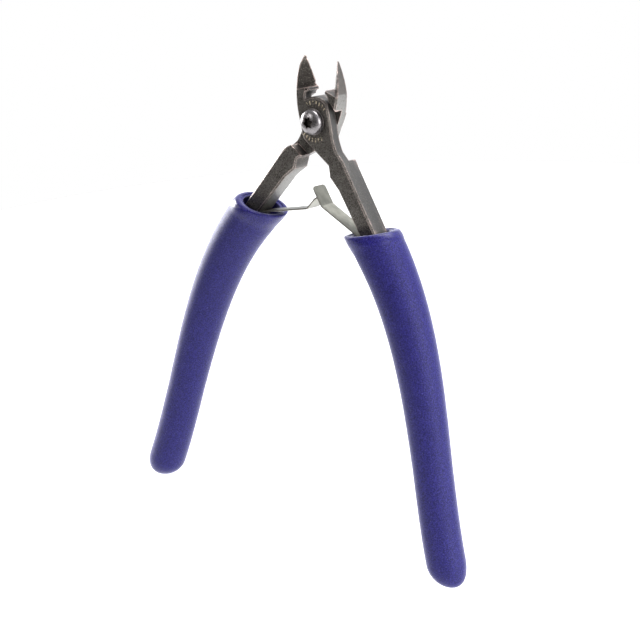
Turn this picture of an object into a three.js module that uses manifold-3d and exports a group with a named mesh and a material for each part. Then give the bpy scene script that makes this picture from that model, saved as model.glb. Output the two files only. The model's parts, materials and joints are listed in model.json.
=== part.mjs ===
// Precision diagonal cutting pliers: two lapped steel halves on a screw pivot, two flat return
// springs and two long cushioned grips. Millimetres, +Z from the grips to the jaws, +X across the
// handles, -Y the face that carries the screw head. The origin is the middle of the pivot.
//
// Each half is drawn closed, in its own frame: `u` runs from the parting line out towards the
// half's own jaw, `v` runs the other way towards its own handle, and z is height above the pivot.
// The front half has its jaw on -X and its plate on -Y; the rear half has them on +X and +Y.
// The assembly is modelled at rest, held open by its springs.
import * as THREE from 'three';
import { mergeVertices } from 'three/addons/utils/BufferGeometryUtils.js';
import Module from 'manifold-3d';

const wasm = await Module();
wasm.setup();

// ---------------------------------------------------------------- driving dimensions
const halfOpenAngle = THREE.MathUtils.degToRad(17); // each half, away from the closed position
const roundSteps = 40;
const curveSteps = 10;

// Lap joint
const plateThickness = 3.4; // one half's plate, from the middle of the lap to its outer face
const lapClearance = 0.3; // between the two plates
const hubRadius = 7.4; // round top of each plate
const hubHalfWidth = 5.8; // straight sides of each plate beside the pivot
const hubFoot = 1.2; // round where a side turns under the hub
const shoulderClearance = 1.1; // from the round of one plate to the shoulder of the other half
const holeClearance = 0.3; // radial, screw shank to plate
const edgeBreak = 0.5; // chamfer round the outer faces of the steel

// Jaws
const jawTipHeight = 19.8; // tip above the pivot
const jawTipWidth = 0.5; // width left at the very tip
const jawBulge = 6.9; // how far out the jaw's outer curve is pulled
const jawBulgeHeight = 11.5;
const cuttingGap = 0.16; // each cutting edge to the parting line, closed
const ledgeHeight = 10.3; // ledge where the ground bevel ends
const edgeDepthAtTip = -1.6; // y of the cutting edge at the tip
const edgeDepthAtLedge = 1.4; // y of the cutting edge at the ledge
const bevelSlope = 0.93; // front bevel, depth over width
const backDepthAtLedge = 0.3; // back of the jaw, behind the cutting edge
const backDepthAtTip = 0.35;
const backReliefFoot = 4.3; // the head's back is relieved from here up
const backReliefStep = 1.1; // height of the steep foot of that relief
const backReliefDepth = 1; // how far the steep foot goes in
const notchTop = 1.9; // relief in the cutting edge, above the ledge
const notchDepth = 0.6;
const heelDrop = 0.9; // heel of the jaw, below the ledge
const throatDepth = 2.1; // open throat under the heel
const gaugeHoleRadius = 0.4; // small hole in the front jaw beside the throat

// Tangs
const tangWidth = 5.6;
const tangHookDrop = 13.7; // inner corner that ends the diagonal under the hub
const tangHookOffset = 2.2;
const tangWaistDrop = 17.2;
const tangWaistInset = 0.3;
const tangWaistSlope = 0.6; // sideways run over drop, waist to neck
const tangNeckDrop = 21.4; // from here the tang has its even width
const shoulderDrop = 13.2; // outer corner of the step to full thickness
const shoulderOffset = 8;
const shoulderFacet = 2.4; // slanted outer end of the rear half's step
const shoulderSlant = 2.1; // the step drops this much towards the parting line
const plateWaistDrop = 10.4; // narrowest place of the plate above the step
const plateWaistOffset = 6.3;
const tangMouthShift = 0.6; // tang outwards of the middle of the mouth
const tangInMouth = 4.6; // how far the thick tang goes below the middle of the mouth
const coreLength = 64; // thin core of the tang inside the grip
const coreWidth = 4.4;
const coreThickness = 3.6;
const coreOverlap = 0.5; // the core starts this far up inside the thick tang

// Pivot screw, washer and nut
const shankRadius = 2;
const screwHeadRadius = 3.8;
const screwHeadHeight = 2.3;
const screwRimHeight = 0.5;
const socketRadius = 1.75; // six-lobe socket, to the tips of the lobes
const socketLobe = 0.14; // share of the socket's radius that the lobes add and take
const socketDepth = 1.4;
const washerRadius = 4;
const washerThickness = 0.4;
const nutRadius = 3.6;
const nutThickness = 1.4;
const seatGap = 0.3; // between faces that rest on each other

// Grips
const gripMouthOffset = 11.6; // middle of the mouth from the parting line
const gripMouthDrop = 35.2; // middle of the mouth below the pivot
const gripMouthLean = THREE.MathUtils.degToRad(25.5);
const gripMouthPull = 38;
const gripEndOffset = 18.9;
const gripEndDrop = 145.2;
const gripEndLean = THREE.MathUtils.degToRad(4);
const gripEndPull = 36;
const gripMouthRadius = 8.5;
const gripNeckRadius = 7.9;
const gripWaistRadius = 6.1;
const gripRimRound = 0.7;
const gripRimLength = 1.8;
const gripFlareLength = 6; // rolled rim down to the neck
const gripTaperLength = 69; // neck down to the waist
const gripTaperCurve = 1.25; // how early the taper is quickest
const gripEndRound = 8; // length of the rounded end
const gripEndSkew = 1.6; // the rounded end runs out to this far outside the centre line
const gripEndTip = 0.4; // radius of the flat left at the very end
const gripWall = 1.9;
const gripRimLean = THREE.MathUtils.degToRad(-2); // lean of the rim's own plane, closed
const gripRimSettle = 10; // length over which the rings turn square to the centre line
const gripMouthDepth = 9; // depth of the open mouth
const coreFit = 0.35; // pocket in the grip round the tang's core
const coreEndRoom = 1; // pocket beyond the core's end

// Return springs
const leafThickness = 0.5;
const leafWidth = 5.8;
const leafRootStart = 1; // first bend of a leaf below the mouth's middle
const leafRootMargin = 0.4; // the flat root of a leaf ends this far above the thick tang's end
const frontLeafReach = 16.7; // root bend to knee
const frontLeafRise = THREE.MathUtils.degToRad(40.5);
const frontLeafTip = 6.6; // knee to tip
const frontLeafTipRise = THREE.MathUtils.degToRad(71);
const rearLeafRise = THREE.MathUtils.degToRad(32);
const rearLeafTip = 5.2;
const rearLeafTipRise = THREE.MathUtils.degToRad(69);
const rivetRadius = 1;
const rivetHeadRadius = 1.7;
const rivetHeadHeight = 0.6;
const rivetLength = 2.4; // into the tang
const rivetFit = 0.3;

// ---------------------------------------------------------------- small tools
function toSolid(geometry) {
  const bare = geometry.clone();
  bare.deleteAttribute('normal');
  bare.deleteAttribute('uv');
  const merged = mergeVertices(bare, 1e-4);
  return new wasm.Manifold(
    new wasm.Mesh({
      numProp: 3,
      vertProperties: new Float32Array(merged.attributes.position.array),
      triVerts: new Uint32Array(merged.index.array),
    }),
  );
}

function toGeometry(solid) {
  const { vertProperties, triVerts } = solid.getMesh();
  const geometry = new THREE.BufferGeometry();
  geometry.setAttribute('position', new THREE.BufferAttribute(new Float32Array(vertProperties), 3));
  geometry.setIndex(new THREE.BufferAttribute(new Uint32Array(triVerts), 1));
  geometry.computeVertexNormals();
  return geometry;
}

const planOf = (points) => new THREE.Shape(points.map(([u, z]) => new THREE.Vector2(u, z)));

// Extrudes a plan drawn in (u, z) through the thickness from y0 to y1. `side` puts u on -X or +X.
function slab(plan, side, y0, y1, chamfer = 0) {
  const geometry = new THREE.ExtrudeGeometry(plan, {
    depth: y1 - y0 - 2 * chamfer,
    curveSegments: curveSteps,
    bevelEnabled: chamfer > 0,
    bevelThickness: chamfer,
    bevelSize: chamfer,
    bevelOffset: -chamfer,
    bevelSegments: 1,
  });
  geometry.translate(0, 0, chamfer);
  geometry.applyMatrix4(
    new THREE.Matrix4().makeBasis(
      new THREE.Vector3(side, 0, 0),
      new THREE.Vector3(0, 0, 1),
      new THREE.Vector3(0, -side, 0),
    ),
  );
  geometry.translate(0, side < 0 ? y0 : y1, 0);
  return toSolid(geometry);
}

// Joins closed rings of equal length into one body. `flip` turns the faces the other way out.
function loft(rings, flip) {
  const count = rings[0].length;
  const points = rings.flat();
  const faces = [];
  const face = (a, b, c) => faces.push(...(flip ? [a, c, b] : [a, b, c]));
  for (let i = 0; i + 1 < rings.length; i += 1) {
    for (let j = 0; j < count; j += 1) {
      const a = i * count + j;
      const b = i * count + ((j + 1) % count);
      face(a, b, a + count);
      face(b, b + count, a + count);
    }
  }
  for (const [start, reverse] of [[0, true], [(rings.length - 1) * count, false]]) {
    const middle = new THREE.Vector3();
    for (let j = 0; j < count; j += 1) {
      middle.addScaledVector(points[start + j], 1 / count);
    }
    const centre = points.push(middle) - 1;
    for (let j = 0; j < count; j += 1) {
      const a = start + j;
      const b = start + ((j + 1) % count);
      if (reverse) face(centre, b, a);
      else face(centre, a, b);
    }
  }
  const geometry = new THREE.BufferGeometry();
  const places = points.flatMap((point) => point.toArray());
  geometry.setAttribute('position', new THREE.Float32BufferAttribute(places, 3));
  geometry.setIndex(faces);
  return toSolid(geometry);
}

// A cylinder along Y, from y0 to y1.
function postY(radius, y0, y1) {
  const geometry = new THREE.CylinderGeometry(radius, radius, y1 - y0, roundSteps);
  geometry.translate(0, (y0 + y1) / 2, 0);
  return toSolid(geometry);
}

// A body turned about the Y axis, from [radius, y] points that start and end on the axis.
function turnedY(profile) {
  return new THREE.LatheGeometry(profile.map(([r, y]) => new THREE.Vector2(r, y)), roundSteps);
}

// ---------------------------------------------------------------- shared lines
const lapPlane = lapClearance / 2;

// Outer curve of a jaw in (u, z), from beside the pivot to the tip.
const jawCurve = new THREE.QuadraticBezierCurve(
  new THREE.Vector2(hubHalfWidth, 0),
  new THREE.Vector2(jawBulge, jawBulgeHeight),
  new THREE.Vector2(jawTipWidth, jawTipHeight),
);

function jawCurveAt(height) {
  let low = 0;
  let high = 1;
  for (let i = 0; i < 40; i += 1) {
    const middle = (low + high) / 2;
    if (jawCurve.getPoint(middle).y < height) low = middle;
    else high = middle;
  }
  return low;
}

const jawWidthAt = (height) => jawCurve.getPoint(jawCurveAt(height)).x;

// Centre line of a grip in (v, z).
const gripLine = new THREE.CubicBezierCurve(
  new THREE.Vector2(gripMouthOffset, -gripMouthDrop),
  new THREE.Vector2(
    gripMouthOffset + gripMouthPull * Math.sin(gripMouthLean),
    -gripMouthDrop - gripMouthPull * Math.cos(gripMouthLean),
  ),
  new THREE.Vector2(
    gripEndOffset - gripEndPull * Math.sin(gripEndLean),
    -gripEndDrop + gripEndPull * Math.cos(gripEndLean),
  ),
  new THREE.Vector2(gripEndOffset, -gripEndDrop),
);
gripLine.arcLengthDivisions = 400;
const gripLength = gripLine.getLength();

// The tang runs straight from its neck into the middle of the mouth, and on by tangInMouth.
const tangBottomDrop = gripMouthDrop + tangInMouth;
const tangNeckOffset = tangHookOffset - tangWaistInset + (tangNeckDrop - tangWaistDrop) * tangWaistSlope;
const tangMouthInner = gripMouthOffset + tangMouthShift - tangWidth / 2;
const tangLean = (tangMouthInner - tangNeckOffset) / (gripMouthDrop - tangNeckDrop);
const tangInnerAt = (drop) => tangNeckOffset + (drop - tangNeckDrop) * tangLean;
const tangOuterAt = (drop) => tangInnerAt(drop) + tangWidth;

// ---------------------------------------------------------------- one steel half
function halfPlan() {
  const plan = new THREE.Shape();
  const overLedge = ledgeHeight + 2 * edgeBreak;
  const heel = ledgeHeight - heelDrop;
  plan.moveTo(cuttingGap, overLedge);
  const top = jawCurveAt(overLedge);
  for (let i = 0; i <= curveSteps; i += 1) {
    const point = jawCurve.getPoint(top * (1 - i / curveSteps));
    plan.lineTo(point.x, point.y);
  }
  const sideDrop = Math.sqrt(hubRadius ** 2 - hubHalfWidth ** 2);
  plan.lineTo(hubHalfWidth, -sideDrop / 2);
  plan.quadraticCurveTo(hubHalfWidth, -sideDrop, hubHalfWidth - hubFoot, -sideDrop - hubFoot);
  plan.lineTo(-tangHookOffset, -tangHookDrop);
  plan.lineTo(-tangHookOffset + tangWaistInset, -tangWaistDrop);
  plan.lineTo(-tangNeckOffset, -tangNeckDrop);
  plan.lineTo(-tangInnerAt(tangBottomDrop), -tangBottomDrop);
  plan.lineTo(-tangOuterAt(tangBottomDrop), -tangBottomDrop);
  plan.lineTo(-shoulderOffset, -shoulderDrop);
  plan.lineTo(-plateWaistOffset, -plateWaistDrop);
  plan.quadraticCurveTo(-hubHalfWidth + edgeBreak, -hubRadius + edgeBreak, -hubHalfWidth, -sideDrop / 2);
  plan.lineTo(-hubHalfWidth, sideDrop);
  const start = Math.atan2(sideDrop, -hubHalfWidth);
  const throatTop = Math.sqrt(hubRadius ** 2 - throatDepth ** 2);
  plan.absarc(0, 0, hubRadius, start, Math.atan2(throatTop, throatDepth), true);
  plan.quadraticCurveTo(throatDepth, heel - heelDrop / 3, cuttingGap, heel);
  plan.closePath();
  return plan;
}

// Space for the other half's plate: a disc round the pivot and everything down to the shoulder.
function lapPocket(side) {
  const far = 3 * hubRadius;
  const y0 = side < 0 ? -lapPlane : -far;
  const y1 = side < 0 ? far : lapPlane;
  const facet = side < 0 ? 0 : shoulderFacet;
  const facetInner = shoulderOffset - shoulderFacet;
  const low = planOf([
    [far, 0],
    [far, -far],
    [far / 2, -far],
    [tangHookOffset, -shoulderDrop + facet - shoulderSlant],
    [-facetInner, -shoulderDrop + facet],
    [-shoulderOffset, -shoulderDrop],
    [-far, -shoulderDrop - facet],
    [-far, 0],
  ]);
  return postY(hubRadius + shoulderClearance, y0, y1).add(slab(low, side, y0, y1));
}

// Blank of a jaw's tip: the outer curve with the same broken edge as the rest of the half.
function jawBlank(side) {
  const foot = ledgeHeight - 2 * edgeBreak;
  const top = jawTipHeight + 2 * edgeBreak;
  const plan = new THREE.Shape();
  plan.moveTo(-hubRadius, foot);
  const start = jawCurveAt(foot);
  for (let i = 0; i <= curveSteps; i += 1) {
    const point = jawCurve.getPoint(THREE.MathUtils.lerp(start, 1, i / curveSteps));
    plan.lineTo(point.x + (i === curveSteps ? edgeBreak : 0), point.y);
  }
  plan.lineTo(jawTipWidth + edgeBreak, top);
  plan.lineTo(-hubRadius, top);
  plan.closePath();
  return slab(plan, side, -plateThickness, plateThickness, edgeBreak);
}

// Tapered tip of a jaw above the ledge: cutting edge, front ridge and back ridge, section by section.
function jawTip(side) {
  const sections = 10;
  const rings = [];
  for (let i = 0; i <= sections; i += 1) {
    const share = i / sections;
    const z = THREE.MathUtils.lerp(ledgeHeight, jawTipHeight, share) - (i === 0 ? edgeBreak / 2 : 0);
    const width = jawWidthAt(z);
    const edge = THREE.MathUtils.lerp(edgeDepthAtLedge, edgeDepthAtTip, share);
    const back = THREE.MathUtils.lerp(backDepthAtLedge, backDepthAtTip, share);
    rings.push([
      new THREE.Vector3(side * cuttingGap, edge, z),
      new THREE.Vector3(side * width, edge - bevelSlope * width, z),
      new THREE.Vector3(side * width, edge + back, z),
    ]);
  }
  return loft(rings, side < 0).intersect(jawBlank(side));
}

// The back of the head is relieved above the pivot: a steep foot, then a lean to the ledge, where
// the jaw's own back carries on.
function backRelief(side) {
  const lean = (edgeDepthAtLedge - edgeDepthAtTip) / (jawTipHeight - ledgeHeight);
  const atLedge = edgeDepthAtLedge + backDepthAtLedge / 2;
  const far = 3 * hubRadius;
  const section = new THREE.Shape([
    new THREE.Vector2(plateThickness, backReliefFoot),
    new THREE.Vector2(far, backReliefFoot),
    new THREE.Vector2(far, far),
    new THREE.Vector2(atLedge - lean * (far - ledgeHeight), far),
    new THREE.Vector2(atLedge, ledgeHeight),
    new THREE.Vector2(plateThickness - backReliefDepth, backReliefFoot + backReliefStep),
  ]);
  const geometry = new THREE.ExtrudeGeometry(section, { depth: far, bevelEnabled: false });
  geometry.applyMatrix4(
    new THREE.Matrix4().makeBasis(
      new THREE.Vector3(0, 1, 0),
      new THREE.Vector3(0, 0, 1),
      new THREE.Vector3(1, 0, 0),
    ),
  );
  geometry.translate(side < 0 ? -far : 0, 0, 0);
  return toSolid(geometry);
}

function notch(side) {
  const wedge = planOf([
    [-1, ledgeHeight + notchTop],
    [cuttingGap, ledgeHeight + notchTop],
    [notchDepth, ledgeHeight + notchTop / 2],
    [cuttingGap, ledgeHeight],
    [-1, ledgeHeight],
  ]);
  return slab(wedge, side, -2 * plateThickness, 2 * plateThickness);
}

// Thin core of the tang, following the grip's centre line, grown by `fit` on every side.
function tangCore(side, length, fit) {
  const steps = 16;
  const start = tangInMouth - coreOverlap;
  const inner = [];
  const outer = [];
  for (let i = 0; i <= steps; i += 1) {
    const share = (start + (length - start) * (i / steps)) / gripLength;
    const point = gripLine.getPointAt(share);
    const along = gripLine.getTangentAt(share);
    const reach = coreWidth / 2 + fit;
    inner.push([-(point.x + along.y * reach), point.y - along.x * reach]);
    outer.push([-(point.x - along.y * reach), point.y + along.x * reach]);
  }
  const thickness = coreThickness / 2 + fit;
  return slab(planOf([...inner, ...outer.reverse()]), side, -thickness, thickness);
}

// Where a return spring lies on the tang: a point on the tang's inner face, its direction down
// the tang and the outward normal of that face, all in (v, z).
const rootDrop = gripMouthDrop + leafRootStart;
const rootDown = new THREE.Vector2(tangLean, -1).normalize();
const rootOut = new THREE.Vector2(-1, -tangLean).normalize();
const rootPoint = new THREE.Vector2(tangInnerAt(rootDrop), -rootDrop);
const leafRootLength = (tangInMouth - leafRootStart - leafRootMargin) / -rootDown.y;
const rivetPoint = rootPoint.clone().addScaledVector(rootDown, leafRootLength / 2);

// Middle line of a leaf in (v, z), from the end of its root to its free end.
function leafLine(reach, rise, tipLength, tipRise) {
  const lift = seatGap + leafThickness / 2;
  const root = rootPoint.clone().addScaledVector(rootOut, lift);
  const knee = new THREE.Vector2(root.x - reach * Math.cos(rise), root.y + reach * Math.sin(rise));
  const tip = new THREE.Vector2(-tipLength * Math.cos(tipRise), tipLength * Math.sin(tipRise));
  const end = knee.clone().add(tip);
  return [root.clone().addScaledVector(rootDown, leafRootLength), root, knee, end];
}

// A point or direction of a half's closed frame as it lies once open, mirrored for the rear half.
function opened(point, mirror) {
  const turned = point.clone().rotateAround(new THREE.Vector2(), halfOpenAngle);
  return new THREE.Vector2(mirror * turned.x, turned.y);
}

// The rear leaf reaches just far enough for its free end to rest on the front leaf's tip.
function reachToFrontLeaf() {
  const front = leafLine(frontLeafReach, frontLeafRise, frontLeafTip, frontLeafTipRise);
  const frontKnee = opened(front[2], 1);
  const frontAlong = opened(front[3], 1).sub(frontKnee).normalize();
  const away = new THREE.Vector2(-frontAlong.y, frontAlong.x);
  const rear = leafLine(0, rearLeafRise, rearLeafTip, rearLeafTipRise);
  const rearAlong = opened(rear[3].clone().sub(rear[2]), -1).normalize();
  const reachAlong = opened(new THREE.Vector2(-Math.cos(rearLeafRise), Math.sin(rearLeafRise)), -1);
  const halfThick = leafThickness / 2;
  const stand = halfThick * (1 + Math.abs(rearAlong.dot(frontAlong))) + seatGap;
  return (stand + frontKnee.sub(opened(rear[3], -1)).dot(away)) / reachAlong.dot(away);
}
const rearLeafReach = reachToFrontLeaf();

// A turned piece on the axis that goes into the tang at the rivet's place. The profile is given
// as [radius, depth] with depth into the tang.
function turnedIntoTang(side, profile) {
  const geometry = turnedY(profile);
  const into = new THREE.Vector3(side * rootOut.x, 0, -rootOut.y);
  geometry.applyQuaternion(new THREE.Quaternion().setFromUnitVectors(new THREE.Vector3(0, 1, 0), into));
  geometry.translate(-side * rivetPoint.x, 0, rivetPoint.y);
  return toSolid(geometry);
}

function rivetHole(side, radius, from, to) {
  return turnedIntoTang(side, [[0, from], [radius, from], [radius, to], [0, to]]);
}

function steelHalf(side) {
  const raw = slab(halfPlan(), side, -plateThickness, plateThickness, edgeBreak);
  const far = 3 * hubRadius;
  const over = planOf([[-far, ledgeHeight], [far, ledgeHeight], [far, far], [-far, far]]);
  let body = raw.subtract(slab(over, side, -far, far)).subtract(backRelief(side)).subtract(lapPocket(side));
  body = body.add(jawTip(side)).subtract(notch(side)).add(tangCore(side, coreLength, 0));
  body = body.subtract(postY(shankRadius + holeClearance, -far, far));
  body = body.subtract(rivetHole(side, rivetRadius + rivetFit, -1, rivetLength + rivetFit));
  if (side < 0) {
    const hole = postY(gaugeHoleRadius, -far, 0);
    body = body.subtract(hole.translate([-throatDepth / 2, 0, ledgeHeight - heelDrop / 2]));
  } else {
    body = body.subtract(postY(nutRadius + seatGap, plateThickness - nutThickness, far));
  }
  return body;
}

// ---------------------------------------------------------------- grips
function gripRadiusAt(distance) {
  if (distance < gripRimRound) {
    const left = 1 - distance / gripRimRound;
    return gripMouthRadius - gripRimRound * (1 - Math.sqrt(1 - left * left));
  }
  if (distance < gripRimLength) {
    return gripMouthRadius;
  }
  if (distance < gripFlareLength) {
    const share = (distance - gripRimLength) / (gripFlareLength - gripRimLength);
    return THREE.MathUtils.lerp(gripMouthRadius, gripNeckRadius, THREE.MathUtils.smoothstep(share, 0, 1));
  }
  const taper = Math.min(1, (distance - gripFlareLength) / gripTaperLength);
  const body = THREE.MathUtils.lerp(gripNeckRadius, gripWaistRadius, 1 - (1 - taper) ** gripTaperCurve);
  const left = Math.max(0, 1 - (gripLength - distance) / gripEndRound);
  return Math.max(body * Math.sqrt(1 - left * left), gripEndTip);
}

function gripRing(side, distance, radius) {
  const share = THREE.MathUtils.clamp(distance / gripLength, 0, 1);
  const point = gripLine.getPointAt(share);
  const along = gripLine.getTangentAt(share);
  point.addScaledVector(along, distance - share * gripLength);
  const intoEnd = Math.max(0, 1 - (gripLength - distance) / gripEndRound);
  point.x += gripEndSkew * intoEnd ** 2;
  const settled = THREE.MathUtils.smoothstep(distance, 0, gripRimSettle);
  const lean = THREE.MathUtils.lerp(gripRimLean, Math.atan2(along.x, -along.y), settled);
  const ring = [];
  for (let i = 0; i < roundSteps; i += 1) {
    const angle = (2 * Math.PI * i) / roundSteps;
    const across = radius * Math.cos(angle);
    const v = point.x + Math.cos(lean) * across;
    const z = point.y + Math.sin(lean) * across;
    ring.push(new THREE.Vector3(-side * v, radius * Math.sin(angle), z));
  }
  return ring;
}

function grip(side) {
  const stations = [0, 0.2, 0.55, 1].map((share) => share * gripRimRound);
  const flareSteps = 4;
  for (let i = 0; i <= flareSteps; i += 1) {
    stations.push(THREE.MathUtils.lerp(gripRimLength, gripFlareLength, i / flareSteps));
  }
  const bodySteps = 16;
  const bodyEnd = gripLength - gripEndRound;
  for (let i = 1; i <= bodySteps; i += 1) {
    stations.push(gripFlareLength + (bodyEnd - gripFlareLength) * (i / bodySteps));
  }
  for (const share of [0.3, 0.55, 0.75, 0.88, 0.96, 1]) {
    stations.push(bodyEnd + gripEndRound * share);
  }
  const outer = loft(stations.map((s) => gripRing(side, s, gripRadiusAt(s))), side < 0);
  const halfFlare = (gripRimLength + gripFlareLength) / 2;
  const cavityStations = [-1, gripRimRound, gripRimLength, halfFlare, gripFlareLength, gripMouthDepth];
  const cavity = loft(
    cavityStations.map((s) => gripRing(side, s, gripRadiusAt(Math.max(s, gripRimLength)) - gripWall)),
    side < 0,
  );
  return outer.subtract(cavity).subtract(tangCore(side, coreLength + coreEndRoom, coreFit));
}

// ---------------------------------------------------------------- return springs
// A bent strip: root flat on the tang, straight reach to the knee, then the tip.
function leaf(side, line) {
  const left = [];
  const right = [];
  line.forEach((point, i) => {
    const before = line[Math.max(i - 1, 0)];
    const after = line[Math.min(i + 1, line.length - 1)];
    const into = (i > 0 ? point.clone().sub(before) : after.clone().sub(point)).normalize();
    const out = (i + 1 < line.length ? after.clone().sub(point) : point.clone().sub(before)).normalize();
    const mitre = into.clone().add(out).normalize();
    const reachOut = leafThickness / 2 / mitre.dot(into);
    left.push([-(point.x - mitre.y * reachOut), point.y + mitre.x * reachOut]);
    right.push([-(point.x + mitre.y * reachOut), point.y - mitre.x * reachOut]);
  });
  const strip = slab(planOf([...left, ...right.reverse()]), side, -leafWidth / 2, leafWidth / 2);
  return strip.subtract(rivetHole(side, rivetRadius + rivetFit, -2, 1));
}

function rivet(side) {
  const under = -2 * seatGap - leafThickness;
  const top = under - rivetHeadHeight;
  return turnedIntoTang(side, [
    [0, top],
    [rivetHeadRadius * 0.6, top],
    [rivetHeadRadius, under - rivetHeadHeight / 3],
    [rivetHeadRadius, under],
    [rivetRadius, under],
    [rivetRadius, rivetLength],
    [0, rivetLength],
  ]);
}

// ---------------------------------------------------------------- pivot
const washerFace = -plateThickness - seatGap; // washer's back
const headFace = washerFace - washerThickness - seatGap; // screw head's back

function pivotScrew() {
  const profile = [[0, headFace - screwHeadHeight]];
  const domeSteps = 7;
  for (let i = 1; i <= domeSteps; i += 1) {
    const angle = (Math.PI / 2) * (i / domeSteps);
    const rise = (screwHeadHeight - screwRimHeight) * Math.cos(angle);
    profile.push([screwHeadRadius * Math.sin(angle), headFace - screwRimHeight - rise]);
  }
  profile.push([screwHeadRadius, headFace], [shankRadius, headFace]);
  profile.push([shankRadius, plateThickness], [0, plateThickness]);
  let screw = toSolid(turnedY(profile));
  const lobes = 6;
  const plan = new THREE.Shape();
  const outlineSteps = 48;
  for (let i = 0; i < outlineSteps; i += 1) {
    const angle = (2 * Math.PI * i) / outlineSteps;
    const radius = socketRadius * (1 - socketLobe + socketLobe * Math.cos(lobes * angle));
    if (i === 0) plan.moveTo(radius, 0);
    else plan.lineTo(radius * Math.cos(angle), radius * Math.sin(angle));
  }
  const top = headFace - screwHeadHeight;
  screw = screw.subtract(slab(plan, -1, top - 1, top + socketDepth));
  return screw;
}

function ringY(outer, inner, y0, y1) {
  return postY(outer, y0, y1).subtract(postY(inner, y0 - 1, y1 + 1));
}

// ---------------------------------------------------------------- the assembly
const finishes = {
  steel: { color: 0x57514c, roughness: 0.45, metalness: 0.85 },
  screw: { color: 0xb4b4b8, roughness: 0.18, metalness: 1 },
  spring: { color: 0xb9bab2, roughness: 0.35, metalness: 0.9 },
  cushion: { color: 0x2c2aa0, roughness: 0.6, metalness: 0 },
};

function named(name, solid, finish) {
  const mesh = new THREE.Mesh(toGeometry(solid), new THREE.MeshStandardMaterial(finishes[finish]));
  mesh.name = name;
  return mesh;
}

const frontLeafLine = leafLine(frontLeafReach, frontLeafRise, frontLeafTip, frontLeafTipRise);
const rearLeafLine = leafLine(rearLeafReach, rearLeafRise, rearLeafTip, rearLeafTipRise);
const holeRadius = shankRadius + holeClearance;
const washer = ringY(washerRadius, holeRadius, washerFace - washerThickness, washerFace);
const nutFace = plateThickness + seatGap;
const nut = ringY(nutRadius, holeRadius, nutFace - nutThickness, nutFace);

const group = new THREE.Group();

const frontBody = new THREE.Group();
frontBody.rotation.y = -halfOpenAngle;
frontBody.add(
  named('front_half', steelHalf(-1), 'steel'),
  named('right_grip', grip(-1), 'cushion'),
  named('right_leaf_spring', leaf(-1, frontLeafLine), 'spring'),
  named('right_spring_rivet', rivet(-1), 'steel'),
  named('pivot_screw', pivotScrew(), 'screw'),
  named('pivot_washer', washer, 'screw'),
  named('pivot_nut', nut, 'screw'),
);

const rearBody = new THREE.Group();
rearBody.rotation.y = halfOpenAngle;
rearBody.add(
  named('rear_half', steelHalf(1), 'steel'),
  named('left_grip', grip(1), 'cushion'),
  named('left_leaf_spring', leaf(1, rearLeafLine), 'spring'),
  named('left_spring_rivet', rivet(1), 'steel'),
);

group.add(frontBody, rearBody);
group.updateMatrixWorld(true);

export default group;
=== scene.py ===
"""Looks of the precision diagonal cutting pliers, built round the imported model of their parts.

The steel halves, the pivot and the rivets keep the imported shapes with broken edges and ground
finishes. The grips and the return springs are made here. Everything is in metres, +Z from the
grips to the jaws, +X across the handles, and -Y is the face with the screw head.
"""
import json
import math

import bmesh
import bpy
from bpy.props import FloatProperty, FloatVectorProperty, IntProperty, PointerProperty
from mathutils import Matrix, Vector


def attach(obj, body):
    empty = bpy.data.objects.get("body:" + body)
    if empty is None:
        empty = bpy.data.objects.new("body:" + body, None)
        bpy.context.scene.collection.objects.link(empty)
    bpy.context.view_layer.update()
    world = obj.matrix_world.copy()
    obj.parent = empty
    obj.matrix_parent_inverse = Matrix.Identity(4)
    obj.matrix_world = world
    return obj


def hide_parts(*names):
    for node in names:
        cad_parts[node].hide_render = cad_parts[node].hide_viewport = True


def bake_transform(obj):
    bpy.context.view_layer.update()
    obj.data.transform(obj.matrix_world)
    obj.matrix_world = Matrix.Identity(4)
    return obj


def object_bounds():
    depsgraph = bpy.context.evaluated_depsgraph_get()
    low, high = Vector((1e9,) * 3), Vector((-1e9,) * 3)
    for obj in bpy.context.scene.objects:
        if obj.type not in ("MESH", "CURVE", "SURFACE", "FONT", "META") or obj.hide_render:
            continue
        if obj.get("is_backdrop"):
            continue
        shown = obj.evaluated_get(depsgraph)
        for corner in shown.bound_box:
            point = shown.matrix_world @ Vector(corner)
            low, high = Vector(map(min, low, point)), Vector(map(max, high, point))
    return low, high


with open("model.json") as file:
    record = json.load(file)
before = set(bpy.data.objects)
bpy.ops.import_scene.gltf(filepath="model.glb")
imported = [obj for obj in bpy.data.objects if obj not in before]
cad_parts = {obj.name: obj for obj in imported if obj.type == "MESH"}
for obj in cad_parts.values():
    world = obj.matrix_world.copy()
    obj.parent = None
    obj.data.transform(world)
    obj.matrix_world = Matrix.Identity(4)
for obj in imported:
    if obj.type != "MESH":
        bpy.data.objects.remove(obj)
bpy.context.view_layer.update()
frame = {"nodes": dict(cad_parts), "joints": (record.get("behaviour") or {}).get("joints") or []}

bl_info = {
    "name": "Diagonal Cutting Pliers",
    "version": (1, 0, 0),
    "blender": (4, 5, 0),
    "location": "3D View > Sidebar > Pliers",
    "description": "Builds the grips, springs, steel finishes and stage of a pair of cutting pliers",
    "category": "Object",
}

MM = 0.001
HINGE = frame["joints"][0]
HALF_OPEN = math.radians(HINGE["range_deg"][1] / 2)
SIDES = {"right": ("front", -1), "left": ("rear", 1)}


# ---------------------------------------------------------------- places in a half's own frame
def place(side, across, depth, height):
    """A point given closed, `across` from the parting line towards the handle, as it lies open."""
    x = across * math.cos(HALF_OPEN) - height * math.sin(HALF_OPEN)
    z = across * math.sin(HALF_OPEN) + height * math.cos(HALF_OPEN)
    return Vector((-side * x, depth, z))


def smooth_share(value):
    """Eased from 0 to 1, and held at 0 below and 1 above."""
    share = min(max(value, 0.0), 1.0)
    return share * share * (3 - 2 * share)


def length(name, millimetres, description):
    return FloatProperty(
        name=name, description=description, default=millimetres * MM, unit="LENGTH", precision=5
    )


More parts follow.
